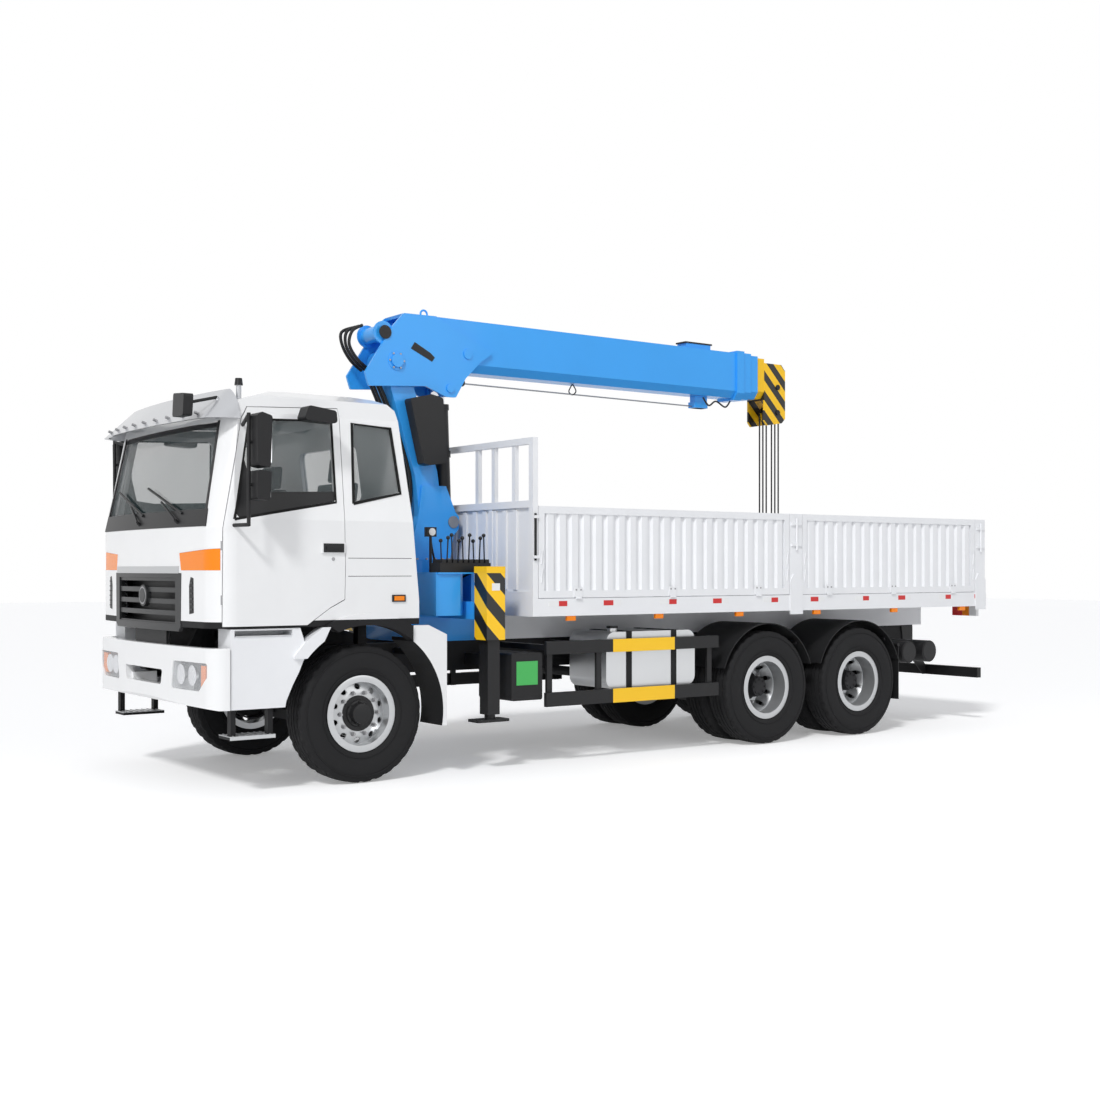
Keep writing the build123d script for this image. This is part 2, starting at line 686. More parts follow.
def nose(front, half, rear, z0, z1, crown=75.0, corner=190.0):
    """Solid with the cab's plan: a crowned front, round corners and straight sides, from z0 to z1."""
    y0 = half - corner
    drop = crown * (y0 / half) ** 2
    slope = 2 * crown * y0 / half**2
    front_mid = (fa(front), 0, z0)
    near = (fa(front - drop), y0, z0)
    quarter = (fa(front - drop - corner * 0.34 - slope * 40), half - corner * 0.26, z0)
    far = (fa(front - drop - corner), half, z0)
    edges = [
        ThreePointArc((near[0], -y0, z0), front_mid, near),
        ThreePointArc(near, quarter, far),
        Line(far, (fa(rear), half, z0)),
        Line((fa(rear), half, z0), (fa(rear), -half, z0)),
        Line((fa(rear), -half, z0), (far[0], -half, z0)),
        ThreePointArc((far[0], -half, z0), (quarter[0], -quarter[1], z0), (near[0], -y0, z0)),
    ]
    return Face(Wire(edges))


def bumper():
    """Deep front bumper with an air slot, lamp recesses and a soft lower edge."""
    z0 = 640.0
    z1 = 1096.0
    shell = extrude(nose(FRONT_OVERHANG, BODY_HALF_WIDTH - 6, 1150, z0, z1, 75, 140), amount=z1 - z0, dir=(0, 0, 1))
    inner = extrude(nose(FRONT_OVERHANG - 60, BODY_HALF_WIDTH - 66, 1000, z0, z1, 75, 140), amount=z1 - z0, dir=(0, 0, 1))
    shell = shell - inner
    shell -= side_form([(1180, 630), (1400, 630), (1400, 735), (1330, 660)], -1300, 1300)
    shell -= front_form([(-370, 790), (370, 790), (400, 905), (-400, 905)], 1100, 1500, 20)
    lamp = lamp_region(0)
    shell -= lamp
    shell -= mirrored(lamp)
    beam = box(1215, 1300, -RAIL_OUTER_Y - 120, RAIL_OUTER_Y + 120, 700, 780)
    horn = box(RAIL_FRONT, 1300, RAIL_OUTER_Y - RAIL_FLANGE, RAIL_OUTER_Y, 700, 840)
    return shell + beam + horn + mirrored(horn)


def lamp_region(inset):
    """Space of the left headlamp, seen from the front, less an inset all round."""
    points = [(560 + inset, 775 + inset), (1010 - inset, 775 + inset), (1120 - inset, 880), (1120 - inset, 985 - inset),
              (600 + inset, 985 - inset)]
    return front_form(points, 1000, 1500, 18)


def headlamps():
    """Headlamp bodies set into the bumper."""
    z0 = 700.0
    skin = extrude(nose(FRONT_OVERHANG - 6, BODY_HALF_WIDTH - 12, 1150, z0, 0, 75, 140), amount=400, dir=(0, 0, 1))
    back = extrude(nose(FRONT_OVERHANG - 60, BODY_HALF_WIDTH - 66, 1000, z0, 0, 75, 140), amount=400, dir=(0, 0, 1))
    lamp = (skin - back) & lamp_region(1)
    return both_sides(lamp)


def grille_backing():
    """Dark lower panel between the bumper and the grille, on a bracket from the radiator."""
    panel = box(1268, 1288, -330, 330, 1000, 1215)
    return panel + box(1000, 1269, -40, 40, 1004, 1034)


def step_boxes():
    """Skirt below each door with its hanging step."""
    skirt = side_form([(1140, 640), (1140, 992), (545, 992), (585, 900), (640, 800), (690, 690), (700, 640)],
                      880, 1205)
    skirt -= side_form([(1090, 690), (1090, 940), (720, 940), (760, 690)], 860, 1160)
    hanger = box(790, 830, 1120, 1180, 430, 690) + box(1090, 1130, 1120, 1180, 430, 650)
    tread = box(780, 1145, 1000, 1200, 420, 440)
    arm = box(900, 960, RAIL_OUTER_Y, 900, 850, 930)
    return both_sides(skirt + hanger + tread + arm + upper_step() + low_lip())


def front_mudguards():
    """Rear half of each front wheel arch, fixed to the frame behind the cab."""
    arch = rod_y(0, 870, 1212, TYRE_RADIUS, ARCH_RADIUS + 22) - rod_y(0, 860, 1220, TYRE_RADIUS, ARCH_RADIUS)
    outline = [(-420, 1230), (-560, 1230), (-735, 1150), (-735, 415), (-600, 415), (-420, 900)]
    region = side_form(outline, 860, 1220)
    skin = side_form(outline, 1175, 1212)
    skin -= rod_y(0, 860, 1220, TYRE_RADIUS, ARCH_RADIUS)
    guard = (arch & region) + skin
    back = box(-735, -715, 870, 1212, 415, 1150)
    arm = box(-735, -690, RAIL_OUTER_Y, 900, 960, 1010)
    return both_sides(guard + back + arm)


# Cab


def cab_side_line(inset):
    """The cab's outline seen from the side, moved inwards by inset."""
    i = inset
    return [
        (FRONT_OVERHANG - 17 - i, CAB_BOTTOM + i),
        (FRONT_OVERHANG - 17 - i, CAB_WAIST),
        (1172 - i, 2800 - i * 0.5),
        (1020 - i * 0.8, 2945 - i),
        (700, 3040 - i),
        (200, 3078 - i),
        (-190, 3030 - i),
        (-300 + i, 2935 - i * 0.8),
        (-410 + i, 2070),
        (CAB_REAR + i, 1430),
        (CAB_REAR + i, CAB_BOTTOM + i),
    ]


def cab_front_line(inset):
    """The cab's outline seen from the front, moved inwards by inset."""
    half = CAB_HALF_WIDTH - inset
    top = 3085 - inset
    right = [(half, CAB_BOTTOM - 10), (half, 2050), (half - 62, 2850), (half - 120, 2985), (half - 330, 3050),
             (half - 700, top)]
    return right + [(-y, z) for y, z in reversed(right)]


def cab_block(inset):
    """The cab as a full solid, every face moved inwards by inset."""
    half = CAB_HALF_WIDTH - inset
    front = FRONT_OVERHANG - 17 - inset
    low = CAB_BOTTOM - 5
    lower = extrude(nose(front, half, -700, low, 0), amount=CAB_WAIST - low, dir=(0, 0, 1))
    lean = Vector(-168, 0, 815)
    rise = 1300
    upper = extrude(nose(front, half, -700, CAB_WAIST, 0), amount=rise, dir=lean)
    block = lower + upper
    block = block & side_form(cab_side_line(inset), -1400, 1400)
    return block & front_form(cab_front_line(inset), -800, 1600)


def door_outline(grow):
    """The left door seen from the side, made larger by grow."""
    g = grow
    return [(1200 + g, CAB_BOTTOM + 8 - g), (1196 + g, 1980), (1040 + g, 2800 + g), (985 + g, 2890 + g), (215 - g, 2925 + g),
            (190 - g, 1700), (196 - g, 1440 - g), (330, 1375 - g), (520, CAB_BOTTOM + 8 - g)]


def window_outline(grow):
    """The door's window seen from the side."""
    g = grow
    return [(1112 + g, 2045 - g), (975 + g, 2795 + g), (285 - g, 2820 + g), (270 - g, 2190 - g)]


def quarter_outline(grow):
    """The window behind the door, seen from the side."""
    g = grow
    return [(118 + g, 2185 - g), (108 + g, 2810 + g), (-236 - g, 2790 + g), (-306 - g, 2275 - g)]


def windscreen_outline(grow):
    """The windscreen seen from the front."""
    g = grow
    return [(-1060 - g, 2035 - g), (1060 + g, 2035 - g), (985 + g, 2785 + g), (-985 - g, 2785 + g)]


def rear_window_outline(grow):
    """The window in the cab's back, seen from the front."""
    g = grow
    return [(-520 - g, 2250 - g), (520 + g, 2250 - g), (520 + g, 2700 + g), (-520 - g, 2700 + g)]


def lamp_band(inset):
    """Space of the turn lamp at the cab's front corner, seen from the front."""
    points = [(690 + inset, 1668 + inset), (1260, 1668 + inset), (1260, 1835 - inset), (660 + inset, 1800 - inset)]
    return front_form(points, 1206 + inset, 1600)


def floor_edge(y):
    """Space of the cab's floor slab and its rocker, out to y on the left."""
    return box(-600, 1300, 990, y, 1200, CAB_BOTTOM + CAB_WALL + 2)


def cab_cuts():
    """Everything cut out of the cab's shell: doors, windows, grille, arches and the engine's tunnel."""
    cuts = []
    door_space = side_form(door_outline(0), 1000, 1400) - floor_edge(1164)
    cuts += both_sides(door_space)
    quarter = side_form(quarter_outline(0), 1000, 1400, 40)
    cuts += both_sides(quarter)
    cuts.append(front_form(windscreen_outline(0), 900, 1600, 60))
    cuts.append(front_form(rear_window_outline(0), -800, -200, 60))
    cuts.append(front_form([(-655, 1225), (655, 1225), (655, 1640), (-655, 1640)], 1100, 1600))
    cuts += both_sides(lamp_band(0))
    cuts += both_sides(rod_y(0, 700, 1400, TYRE_RADIUS, ARCH_RADIUS))
    cuts.append(box(-345, 1275, -TUNNEL_HALF_WIDTH, TUNNEL_HALF_WIDTH, 1200, TUNNEL_TOP - CAB_WALL))
    return cuts


def tilt_lug():
    """Ear under the cab's floor that turns on the frame's tilt pin."""
    arm = side_form([(1165, 975), (1238, 1012), (1110, CAB_BOTTOM + 8), (1010, CAB_BOTTOM + 8)], 506, 554)
    ear = rod_y(TILT_X, 506, 554, TILT_Z, 40)
    return arm + ear - rod_y(TILT_X, 490, 570, TILT_Z, TILT_PIN_RADIUS + RUN_FIT)


def cab_panels():
    """The cab's body, split where its panels meet."""
    shell = cab_block(0) - cab_block(CAB_WALL)
    tunnel = box(-425, 1110, -TUNNEL_HALF_WIDTH - 30, TUNNEL_HALF_WIDTH + 30, CAB_BOTTOM, TUNNEL_TOP)
    toe = box(1062, 1110, -CAB_HALF_WIDTH + CAB_WALL, CAB_HALF_WIDTH - CAB_WALL, CAB_BOTTOM + CAB_WALL, 1700)
    shelf = box(1062, 1300, -CAB_HALF_WIDTH + 150, CAB_HALF_WIDTH - 150, 1652, 1700) & cab_block(CAB_WALL)
    shell = shell + tunnel + toe + shelf
    for lug in both_sides(tilt_lug()):
        shell += lug
    for cut in cab_cuts():
        shell = shell - cut
    return shell


def cab_regions():
    """Where each panel of the cab lies; what is left is its front."""
    far = 2000.0
    roof_line = 2830.0
    side_line = 1075.0
    rear_line = -255.0
    floor_top = CAB_BOTTOM + CAB_WALL
    return {
        "cab_roof": box(-far, far, -far, far, roof_line, 4000),
        "cab_back": box(-far, rear_line, -far, far, floor_top, roof_line),
        "cab_sides": box(rear_line, far, side_line, far, floor_top, roof_line)
        + box(rear_line, far, -far, -side_line, floor_top, roof_line),
        "cab_floor": box(rear_line, 1125, -side_line, side_line, floor_top, 2000)
        + box(-far, far, -far, far, 900, floor_top),
    }


def cab_glass():
    """Windscreen, quarter windows and rear window."""
    skin = cab_block(14) - cab_block(14 + GLASS_WALL)
    panes = []
    panes.append(skin & front_form(windscreen_outline(0), 900, 1600, 60))
    panes.append(skin & front_form(rear_window_outline(0), -800, -200, 60))
    quarter = skin & side_form(quarter_outline(0), 1000, 1400, 40)
    panes += both_sides(quarter)
    return panes


def turn_lamps():
    """Turn lamps wrapped round the cab's front corners."""
    skin = cab_block(2) - cab_block(CAB_WALL)
    return both_sides(skin & lamp_band(1))


def door(side):
    """Door panel with its window cut, its handle recess and its hinge side at the front."""
    skin = cab_block(0) - cab_block(CAB_WALL)
    panel = skin & side_form(door_outline(-PANEL_GAP), 1000, 1400)
    panel -= side_form(window_outline(0), 1000, 1400, 45)
    panel -= floor_edge(CAB_HALF_WIDTH - CAB_WALL)
    handle = box(190 + 12, 400, CAB_HALF_WIDTH - 12, CAB_HALF_WIDTH + 14, 1800, 1880)
    handle -= box(225, 385, CAB_HALF_WIDTH, CAB_HALF_WIDTH + 6, 1815, 1865)
    panel = panel + handle
    return panel if side > 0 else mirrored(panel)


def door_glass(side):
    """Window glass of a door."""
    skin = cab_block(16) - cab_block(16 + GLASS_WALL)
    pane = skin & side_form(window_outline(0), 1000, 1400, 45)
    return pane if side > 0 else mirrored(pane)


def mirror_set(side):
    """Two mirror housings on a bow outside the door's front edge, and the kerb mirror above the door."""
    bow_x = 1085
    bow_y = 1395
    bow = rod_z(bow_x, bow_y, 1990, 2812, 14)
    bow += bar((1120, door_skin_y(2000) - 30, 2000), (bow_x, bow_y, 2000), 14)
    bow += bar((1018, door_skin_y(2740) - 30, 2740), (bow_x, bow_y, 2800), 14)
    main = side_form([(1060, 2430), (960, 2410), (945, 2790), (1030, 2815), (1066, 2790)], 1330, 1500, 22)
    lower = side_form([(1060, 2185), (960, 2175), (950, 2390), (1062, 2396)], 1335, 1495, 22)
    stem = rod_x(1000, bow_x, bow_y, 2600, 12) + rod_x(1000, bow_x, bow_y, 2290, 12)
    kerb = side_form([(640, 2790), (360, 2775), (370, 2870), (600, 2900)], 1265, 1400, 25)
    kerb_arm = rod_y(500, door_skin_y(2870) - 14, 1280, 2850, 12)
    whole = [bow + main + lower + stem - cab_block(-SEAT_GAP), kerb + kerb_arm - cab_block(-SEAT_GAP)]
    return whole if side > 0 else [mirrored(piece) for piece in whole]


def door_skin_y(z):
    """Outer face of the door at a height."""
    if z < 2050:
        return CAB_HALF_WIDTH
    return CAB_HALF_WIDTH - 62 * (z - 2050) / 800


def upper_step():
    """Upper step panel below a door, with its tread."""
    top = CAB_BOTTOM - PANEL_GAP
    panel = side_form([(1140, 985), (1140, top), (575, top), (525, 1090), (545, 985)], 980, 1205)
    panel -= rod_y(0, 900, 1300, TYRE_RADIUS, ARCH_RADIUS)
    panel -= side_form([(1110, 1165), (1110, 1222), (640, 1222), (640, 1165)], 1040, 1300)
    return panel + box(640, 1110, 1045, 1200, 1165, 1177)


def lip_ring():
    """Whole flared ring of a front wheel arch."""
    return rod_y(0, 1130, 1236, TYRE_RADIUS, ARCH_RADIUS + ARCH_LIP) - rod_y(0, 1100, 1300, TYRE_RADIUS, ARCH_RADIUS)


def low_lip():
    """Part of the arch's lip beside the upper step."""
    top = CAB_BOTTOM - PANEL_GAP
    return lip_ring() & side_form([(450, 1000), (630, 1000), (700, top), (330, top)], 1100, 1300)


def arch_lips():
    """Flared lip round the top of each front wheel arch, on the cab."""
    region = side_form([(330, CAB_BOTTOM), (700, CAB_BOTTOM), (400, 1400), (-405, 1400), (-405, 1005), (0, 1005)],
                       1100, 1300)
    lip = (lip_ring() & region) - cab_block(0)
    lip -= side_form(door_outline(0), 1100, 1300)
    return both_sides(lip)


def grille():
    """Grille frame with thick cross bars."""
    z0 = 1235.0
    front = FRONT_OVERHANG - 17 - 6
    frame = box(1180, 1400, -650, 650, z0, 1635)
    skin = extrude(nose(front, CAB_HALF_WIDTH, 0, z0, 0), amount=400, dir=(0, 0, 1))
    skin -= extrude(nose(front - 42, CAB_HALF_WIDTH - 42, 0, z0, 0), amount=400, dir=(0, 0, 1))
    body = frame & skin
    for i in range(4):
        z = z0 + 38 + i * 88
        body -= box(1100, 1500, -610, 610, z, z + 50)
    return body


def sun_visor():
    """Curved visor above the windscreen."""
    low = nose(1375, 1185, 700, 2792, 0, 90, 200)
    high = nose(1130, 1120, 455, 3030, 0, 90, 200)
    low_in = nose(1347, 1157, 700, 2792, 0, 90, 200)
    high_in = nose(1102, 1092, 455, 3030, 0, 90, 200)
    outer = loft([low, high])
    inner = loft([low_in, high_in])
    band = (outer - inner) & box(1052, 1500, -1300, 1300, 2792, 3030)
    return band


def seats():
    """Driver's and passenger's seats: cushion, back and head rest on a pedestal."""
    pieces = []
    for y in (640, -640):
        pedestal = box(0, 330, y - 130, y + 130, CAB_BOTTOM + CAB_WALL, 1640)
        cushion = side_form([(-40, 1640), (430, 1640), (440, 1740), (380, 1775), (-30, 1760)], y - 245, y + 245, 25)
        back = side_form([(-30, 1790), (90, 1790), (10, 2370), (-110, 2370)], y - 235, y + 235, 25)
        head = side_form([(-20, 2385), (-100, 2385), (-115, 2580), (-45, 2580)], y - 130, y + 130, 20)
        link = box(-70, -30, y - 60, y + 60, 2360, 2395)
        foot = box(-20, 60, y - 200, y + 200, 1750, 1800)
        pieces.append(pedestal + cushion + back + head + link + foot)
    return pieces


def dashboard():
    """Dashboard across the cab, with the steering column and wheel on the left."""
    top = side_form([(1060, 1702), (1240, 1702), (1255, 1960), (1130, 1990), (900, 1950), (840, 1860), (870, 1720)],
                    -1090, 1090, 15)
    top = top & cab_block(CAB_WALL + 4)
    column = slanted_shaft((930, 1500), (660, 2010), 600, 30)
    plane = Plane(origin=(fa(655), 600, 2019), z_dir=Vector(-270, 0, 510))
    hoop = plane * Torus(220, 16)
    spokes = plane * Box(420, 40, 14) + plane * Box(40, 420, 14) + plane * Cylinder(55, 34)
    return top + column + hoop + spokes


def front_mirror():
    """Mirror that looks down on the cab's front, on its arm from the roof's corner."""
    housing = front_form([(880, 2800), (1080, 2800), (1100, 2960), (900, 2975)], FRONT_REACH - 75, FRONT_REACH, 20)
    arm = slanted_shaft((1150, 2960), (1400, 2900), 980, 12)
    foot = rod_z(1150, 980, 2800, 2965, 12)
    beacon = rod_z(985, 1000, 2850, 3112, 20)
    return housing + arm + foot + beacon


# Crane


def crane_base():
    """Base box across the frame, its outrigger housing, the control platform and the slewing seat."""
    low = side_form([(-1530, RAIL_TOP), (-840, RAIL_TOP), (-840, 1330), (-930, 1620), (-1500, 1620), (-1530, 1500)],
                    -440, 440)
    seat = rod_z(SLEW_X, 0, 1600, SLEW_PLANE - SEAT_GAP, 300)
    bore = rod_z(SLEW_X, 0, 1400, 1700, 110 + RUN_FIT)
    inside = BEAM_HALF + RUN_FIT
    outside = inside + HOUSING_WALL
    z = 1330.0
    housing = box(OUTRIGGER_X - outside, OUTRIGGER_X + outside, -1000, 1000, z - outside, z + outside)
    passage = box(OUTRIGGER_X - inside, OUTRIGGER_X + inside, -1010, 1010, z - inside, z + inside)
    box_left = top_form([(-820, 450), (-1100, 450), (-1090, 900), (-1030, 960), (-790, 960)], 1290, 1650)
    shelf = box(-1380, -800, 440, 980, 1650 - 12, 1650)
    leg_gusset = box(OUTRIGGER_X - 90, OUTRIGGER_X - 60, 440, 760, 1400, 1640)
    wing = box_left + shelf + leg_gusset
    base = low + seat + housing + wing + mirrored(wing)
    return base - passage - bore


def control_levers():
    """Valve banks on both sides with their levers, and the gauge board on its stalk."""
    pieces = []
    bank = box(-1350, -840, 800, 940, 1650, 1730)
    for i in range(9):
        x = -880 - i * 54
        tilt = 18 if i % 2 else -12
        bank += slanted_lever(x, 900, 1725, tilt, 190 + (i % 3) * 24)
    stalk = rod_z(-860, 760, 1650, 1960, 12)
    gauge = box(-905, -815, 735, 785, 1950, 2030)
    pieces += both_sides(bank)
    pieces += both_sides(stalk + gauge)
    return pieces


def slanted_lever(x, y, z, lean, length):
    """Lever that leans outwards, with its round knob."""
    top = Vector(fa(x), y + lean, z + length)
    foot = Vector(fa(x), y, z)
    plane = Plane(origin=(foot + top) / 2, z_dir=top - foot)
    return plane * Cylinder(6, (top - foot).length) + Pos(*top) * Sphere(17)


def crane_column():
    """Leaning column on its slewing foot, with the boom's pivot head and the cylinder's foot bracket."""
    foot = rod_z(SLEW_X, 0, SLEW_PLANE, 1760, 290)
    spigot = rod_z(SLEW_X, 0, 1480, 1700, 110)
    body = side_form([(-1010, 1760), (-1362, 1760), (-1362, 2250), (-1318, 2550), (-1010, 3480), (-770, 3480),
                      (-1090, 2500), (-1130, 2150)], -138, 138)
    head = rod_y(PIVOT_X, -138, 138, PIVOT_Z, 118)
    pin = rod_y(PIVOT_X, -200, 200, PIVOT_Z, PIN_RADIUS)
    cap = rod_y(PIVOT_X, 138 + 2 * 8 + PLATE_WALL, 200, PIVOT_Z, 58)
    side_plate = side_form([(-1000, 1740), (-1440, 1740), (-1480, 1980), (-1535, 2040), (-1538, 2150), (-1500, 2190),
                            (-1400, 2420), (-1150, 2420), (-1110, 2140)], 138, 158)
    inner = side_form([(-1350, 1900), (-1450, 1950), (-1535, 2040), (-1538, 2150), (-1350, 2230)], 84, 139)
    foot_pin = rod_y(CYLINDER_FOOT_X, -158, 158, CYLINDER_FOOT_Z, PIN_RADIUS)
    clear = rod_y(CYLINDER_FOOT_X, -84, 84, CYLINDER_FOOT_Z, 90)
    side = side_plate + inner
    column = foot + spigot + body + head - clear
    return column + pin + cap + mirrored(cap) + side + mirrored(side) + foot_pin


def hydraulic_box():
    """Tall black housing on the column's left side."""
    body = side_form([(-945, 3165), (-1160, 3215), (-1280, 3190), (-1325, 2620), (-1150, 2590), (-1085, 2600)],
                     186, 300, 25)
    bracket = box(-1250, -1180, 138, 187, 2700, 2760)
    return body + bracket


def cylinder_frame():
    """Plane at the cylinder's foot pin whose normal points at the rod's eye."""
    foot = Vector(fa(CYLINDER_FOOT_X), 0, CYLINDER_FOOT_Z)
    eye = Vector(fa(ROD_EYE_X), 0, ROD_EYE_Z)
    return Plane(origin=foot, x_dir=(0, 1, 0), z_dir=eye - foot), (eye - foot).length


def luff_barrel():
    """Cylinder barrel, its foot eye round the column's pin, and its gland."""
    plane, reach = cylinder_frame()
    top = reach - 130
    barrel = plane * Pos(0, 0, (70 + top) / 2) * Cylinder(BARREL_RADIUS, top - 70)
    gland = plane * Pos(0, 0, top - 25) * Cylinder(BARREL_RADIUS + 8, 50)
    collar = plane * Pos(0, 0, top * 0.58) * Cylinder(BARREL_RADIUS + 10, 60)
    bore = plane * Pos(0, 0, (140 + top + 10) / 2) * Cylinder(ROD_RADIUS + RUN_FIT, top + 10 - 140)
    eye = rod_y(CYLINDER_FOOT_X, -80, 80, CYLINDER_FOOT_Z, 62)
    hole = rod_y(CYLINDER_FOOT_X, -90, 90, CYLINDER_FOOT_Z, PIN_RADIUS + RUN_FIT)
    return barrel + gland + collar + eye - bore - hole


def luff_rod():
    """Cylinder rod with its eye, between the two stub pins of the boom's plates."""
    plane, reach = cylinder_frame()
    rod = plane * Pos(0, 0, (150 + reach) / 2) * Cylinder(ROD_RADIUS, reach - 150)
    eye = rod_y(ROD_EYE_X, -50, 50, ROD_EYE_Z, 66)
    hole = rod_y(ROD_EYE_X, -60, 60, ROD_EYE_Z, PIN_RADIUS)
    return rod + eye - hole


def boom_outline(level):
    """Half width, bottom and top of a boom section, counted inwards from the base section."""
    inset = SECTION_STEP * level
    return BOOM_HALF_WIDTH - inset, BOOM_BOTTOM + inset, BOOM_TOP - inset


def boom_tube(half, bottom, top, x0, x1):
    """Closed box section with chamfered lower corners."""
    c = BOOM_CHAMFER
    points = [(half, top), (half, bottom + c), (half - c * 0.8, bottom), (-half + c * 0.8, bottom), (-half, bottom + c),
              (-half, top)]
    return front_form(points, x0, x1)


def section_tube(level, x0, x1):
    """Hollow boom section."""
    half, bottom, top = boom_outline(level)
    wall = BOOM_WALL
    outer = boom_tube(half, bottom, top, x0, x1)
    inner = boom_tube(half - wall, bottom + wall, top - wall, x0, x1)
    return outer - inner


def collar(level, x_rear, x_front):
    """Thick ring at the end of a section, its wear pads just clear of the next section."""
    half, bottom, top = boom_outline(level)
    next_half, next_bottom, next_top = boom_outline(level + 1)
    outer = boom_tube(half + COLLAR_RISE, bottom - COLLAR_RISE, top + COLLAR_RISE, x_rear, x_front)
    hole = boom_tube(next_half + SEAT_GAP, next_bottom - SEAT_GAP, next_top + SEAT_GAP, x_rear, x_front)
    return outer - hole


def collar_place(level):
    """Rear and front face of a section's collar."""
    front = BASE_COLLAR - level * (COLLAR_LENGTH + COLLAR_GAP)
    return front - COLLAR_LENGTH, front


def head_plate():
    """Side plate of the boom's foot, drawn with its sloping top, its rear point and its cylinder ear."""
    plate = side_form([(-600, 3262), (-562, 3378), (-839, 3803), (-950, 3925), (-1284, 3930), (-1902, 3654),
                       (-1765, 3561), (-1600, 3400), (-1494, 3220), (-1386, 3220), (-1180, 3300)],
                      BOOM_HALF_WIDTH, BOOM_HALF_WIDTH + PLATE_WALL, 18)
    plate -= rod_y(PIVOT_X, 100, 300, PIVOT_Z, PIN_RADIUS + RUN_FIT)
    stub = rod_y(ROD_EYE_X, 60, BOOM_HALF_WIDTH + PLATE_WALL + 14, ROD_EYE_Z, PIN_RADIUS)
    boss = rod_y(ROD_EYE_X, BOOM_HALF_WIDTH - 40, BOOM_HALF_WIDTH + PLATE_WALL, ROD_EYE_Z, 58)
    return plate + stub + boss


def boom_base():
    """Base section with its foot plates, end collar, rope bracket and lifting eye."""
    rear, front = collar_place(0)
    tube = section_tube(0, front, BOOM_REAR_END)
    plate = head_plate()
    end_wall = box(BOOM_REAR_END - 12, BOOM_REAR_END, -BOOM_HALF_WIDTH, BOOM_HALF_WIDTH, BOOM_BOTTOM + 72, BOOM_TOP)
    nose_top = side_form([(-950, 3925), (-1284, 3930), (-1284, 3905), (-960, 3900)], -BOOM_HALF_WIDTH, BOOM_HALF_WIDTH)
    eye = Pos(fa(-1262), 0, 3972) * Rot(90, 0, 0) * Torus(34, 9)
    eye += rod_z(-1262, 0, 3925, 3945, 18)
    bracket = box(-4515, -4680, -40, 40, 3340, BOOM_BOTTOM)
    box_top = box(-4700, -4370, -70, 70, BOOM_TOP, 4000)
    base = tube + collar(0, rear, front) + plate + mirrored(plate) + end_wall + nose_top + bracket + box_top
    return base + eye


def winch():
    """Winch drum between the boom's foot plates, ahead of the pivot."""
    drum = rod_y(-760, -BOOM_HALF_WIDTH, BOOM_HALF_WIDTH, 3740, 70)
    drum += rod_y(-760, -BOOM_HALF_WIDTH, -BOOM_HALF_WIDTH + 12, 3740, 100)
    drum += rod_y(-760, BOOM_HALF_WIDTH - 12, BOOM_HALF_WIDTH, 3740, 100)
    return drum


def boom_section(level):
    """Sliding section with its end collar."""
    rear, front = collar_place(level)
    start = SECTION_START - 30 * level
    return section_tube(level, front, start) + collar(level, rear, front)


def boom_tip():
    """Innermost section, its yellow collar, the striped head and the sheave housing below it."""
    level = SECTIONS
    half, bottom, top = boom_outline(level)
    rear, front = collar_place(level)
    start = SECTION_START - 30 * level
    tube = section_tube(level, front, start)
    ring = boom_tube(half + COLLAR_RISE, bottom - COLLAR_RISE, top + COLLAR_RISE, rear, front)
    return tube + ring


def boom_head():
    """Striped head plates round the tip sheaves."""
    rear, front = collar_place(SECTIONS)
    x1 = rear
    x0 = -5735.0
    outline = [(x1, 3865), (x0 + 60, 3865), (x0, 3800), (x0, 3290), (x0 + 50, 3240), (x1 - 40, 3205), (x1, 3250)]
    plate = side_form(outline, 110, 128)
    head = plate + mirrored(plate)
    head += side_form([(x1, 3850), (x1 - 60, 3850), (x1 - 60, 3480), (x1, 3480)], -112, 112)
    for x, z in ((x0 + 115, 3620), (x0 + 115, 3350)):
        head += rod_y(x, -112, 112, z, 20)
        for y in (-50, 0, 50):
            head += rod_y(x, y - 16, y + 16, z, SHEAVE_RADIUS)
    return head


def hook_falls():
    """Rope falls between the head's sheaves and the hook block's."""
    reach = SHEAVE_RADIUS + ROPE_RADIUS + SEAT_GAP
    falls = []
    for y in (-50, 0, 50):
        for x in (HOOK_X - reach, HOOK_X + reach):
            falls.append(rod_z(x, y, HOOK_SHEAVE_Z, FALL_TOP, ROPE_RADIUS))
    return falls


def hook_block():
    """Hook block: cheek plates, sheaves and the hook on its swivel."""
    cheek = side_form([(HOOK_X - 70, 2230), (HOOK_X + 70, 2230), (HOOK_X + 125, 2120), (HOOK_X + 80, 1960),
                       (HOOK_X - 80, 1960), (HOOK_X - 125, 2120)], 78, 92)
    block = cheek + mirrored(cheek)
    block += rod_y(HOOK_X, -92, 92, HOOK_SHEAVE_Z, 22)
    for y in (-50, 0, 50):
        block += rod_y(HOOK_X, y - 16, y + 16, HOOK_SHEAVE_Z, SHEAVE_RADIUS)
    block += box(HOOK_X - 60, HOOK_X + 60, -92, 92, 1940, 1985)
    block += rod_z(HOOK_X, 0, 1850, 1942, 26)
    arc = Pos(fa(HOOK_X), 0, 1760) * Rot(90, 0, 0) * Torus(72, 24)
    throat = box(HOOK_X - 130, HOOK_X - 8, -40, 40, 1765, 1850)
    return block + (arc - throat)


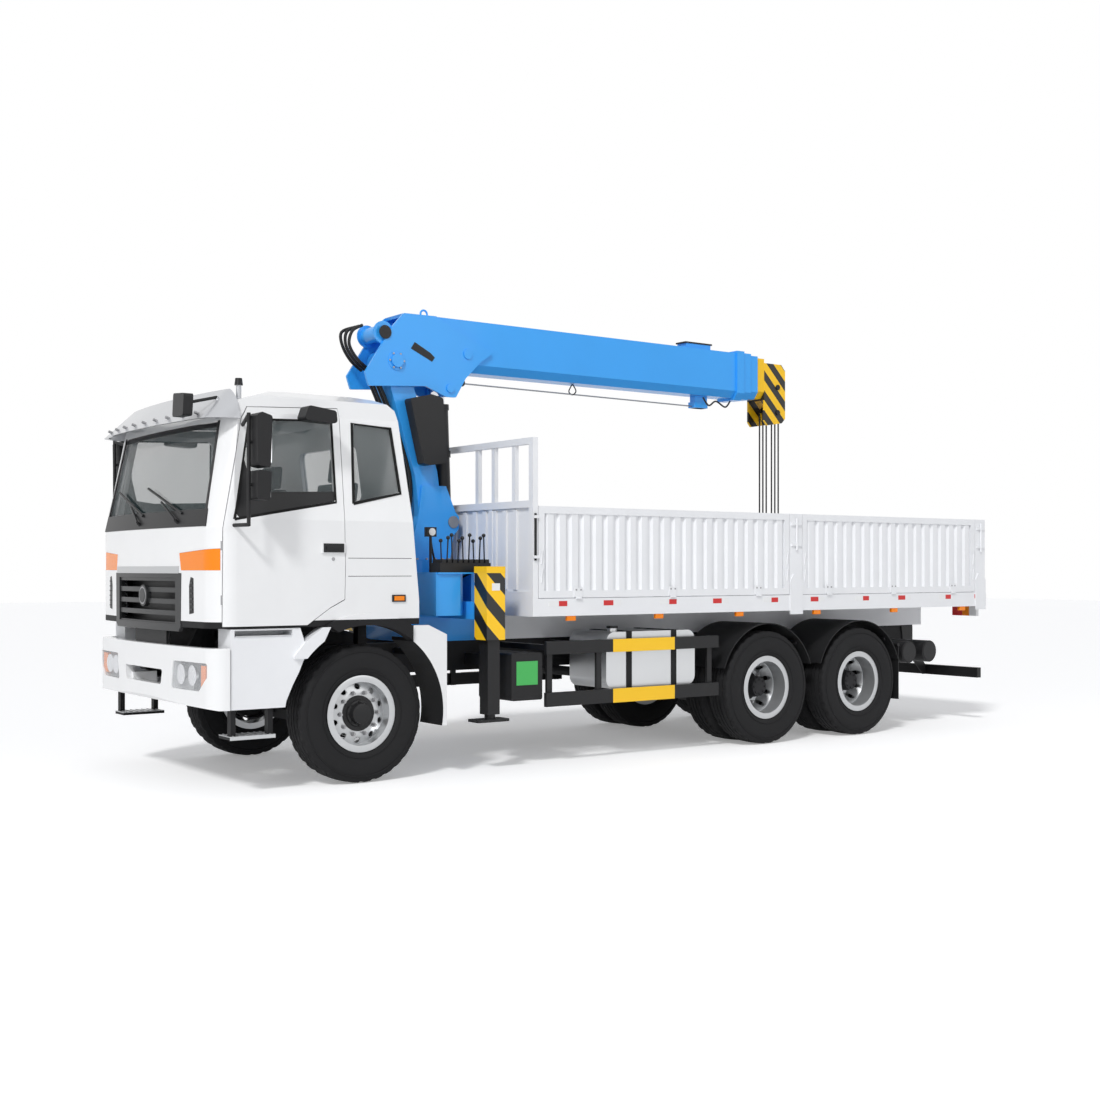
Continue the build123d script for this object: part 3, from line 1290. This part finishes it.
def outrigger_beam():
    """Beam that slides out of the base, with the striped leg box at its end."""
    z = 1330.0
    beam = box(OUTRIGGER_X - BEAM_HALF, OUTRIGGER_X + BEAM_HALF, 12, LEG_Y - 60, z - BEAM_HALF, z + BEAM_HALF)
    leg = box(OUTRIGGER_X - 92, OUTRIGGER_X + 92, LEG_Y - 92, LEG_Y + 92, 1090, 1645)
    hole = box(OUTRIGGER_X - 60, OUTRIGGER_X + 60, LEG_Y - 60, LEG_Y + 60, 1080, 1610)
    return beam + leg - hole


def outrigger_leg():
    """Inner leg with its foot plate."""
    tube = box(OUTRIGGER_X - 60 + RUN_FIT, OUTRIGGER_X + 60 - RUN_FIT, LEG_Y - 60 + RUN_FIT, LEG_Y + 60 - RUN_FIT, 470, 1600)
    ankle = rod_z(OUTRIGGER_X, LEG_Y, 430, 475, 45)
    foot = top_form([(OUTRIGGER_X - 150, LEG_Y - 85), (OUTRIGGER_X + 170, LEG_Y - 85), (OUTRIGGER_X + 170, LEG_Y + 85),
                     (OUTRIGGER_X - 150, LEG_Y + 85)], 410, 432, 20)
    return tube + ankle + foot


def save_wheels():
    """Both front wheels and the four rear pairs."""
    front_wheel("front_left", 1)
    front_wheel("front_right", -1)
    dual_wheel("mid_left", BOGIE_FRONT, 1)
    dual_wheel("mid_right", BOGIE_FRONT, -1)
    dual_wheel("rear_left", BOGIE_REAR, 1)
    dual_wheel("rear_right", BOGIE_REAR, -1)


def save_chassis():
    """Frame, axles and everything fixed to them."""
    frame = chassis_frame()
    for piece in tank_brackets() + cab_mounts():
        frame += piece
    save("chassis_frame", frame)
    save("axles", front_axle(), rear_axles())
    save("knuckle_left", knuckle(1))
    save("knuckle_right", knuckle(-1))
    save("leaf_springs", leaf_springs())
    gearbox, rear_shaft = driveline()
    save("powertrain", engine_block() + gearbox + radiator(), rear_shaft)
    save("fuel_tank", fuel_tank())
    save("battery_and_air_tanks", battery_box(), air_tanks())
    save("guard_bars", side_guards(), underrun_bar())
    save("mudguards", rear_mudguards(), front_mudguards())
    save("bumper", bumper())
    save("lamps", headlamps(), marker_lamps())
    save("lower_grille", grille_backing())
    save("step_boxes", step_boxes())


def save_bed():
    """Floor, walls, boards and lamps of the load bed."""
    floor = bed_floor() + bed_subframe()
    for post in bed_posts():
        floor += post
    save("bed_floor", floor)
    save("headboard", headboard())
    side_boards()
    save("tailboard", tailboard())


def save_cab():
    """Cab panels, glass, doors and what is fixed to them."""
    shell = cab_panels()
    for piece in arch_lips():
        shell += piece
    front = shell
    for name, region in cab_regions().items():
        save(name, shell & region)
        front = front - region
    save("cab_front", front)
    save("cab_glass", cab_glass())
    save("turn_lamps", turn_lamps())
    save("grille", grille())
    save("sun_visor", sun_visor() + front_mirror() - cab_block(-SEAT_GAP))
    save("seats", seats())
    save("dashboard", dashboard())
    for name, side in (("left", 1), ("right", -1)):
        save(f"door_{name}", door(side))
        save(f"door_glass_{name}", door_glass(side))
        save(f"mirrors_{name}", mirror_set(side))


def save_crane():
    """Crane from its base to its hook, and the outriggers."""
    save("crane_base", crane_base())
    save("control_levers", control_levers())
    save("crane_column", crane_column())
    save("hydraulic_box", hydraulic_box())
    save("luff_barrel", luff_barrel())
    save("luff_rod", luff_rod())
    save("boom_base", boom_base() + winch())
    for level in range(1, SECTIONS):
        save(f"boom_section_{level + 1}", boom_section(level))
    save(f"boom_section_{SECTIONS + 1}", boom_tip())
    save("boom_head", boom_head())
    save("hook_block", hook_block(), hook_falls())
    save("outrigger_beam_left", outrigger_beam())
    save("outrigger_beam_right", mirrored(outrigger_beam()))
    save("outrigger_leg_left", outrigger_leg())
    save("outrigger_leg_right", mirrored(outrigger_leg()))


os.makedirs("parts", exist_ok=True)
save_wheels()
save_chassis()
save_bed()
save_cab()
save_crane()
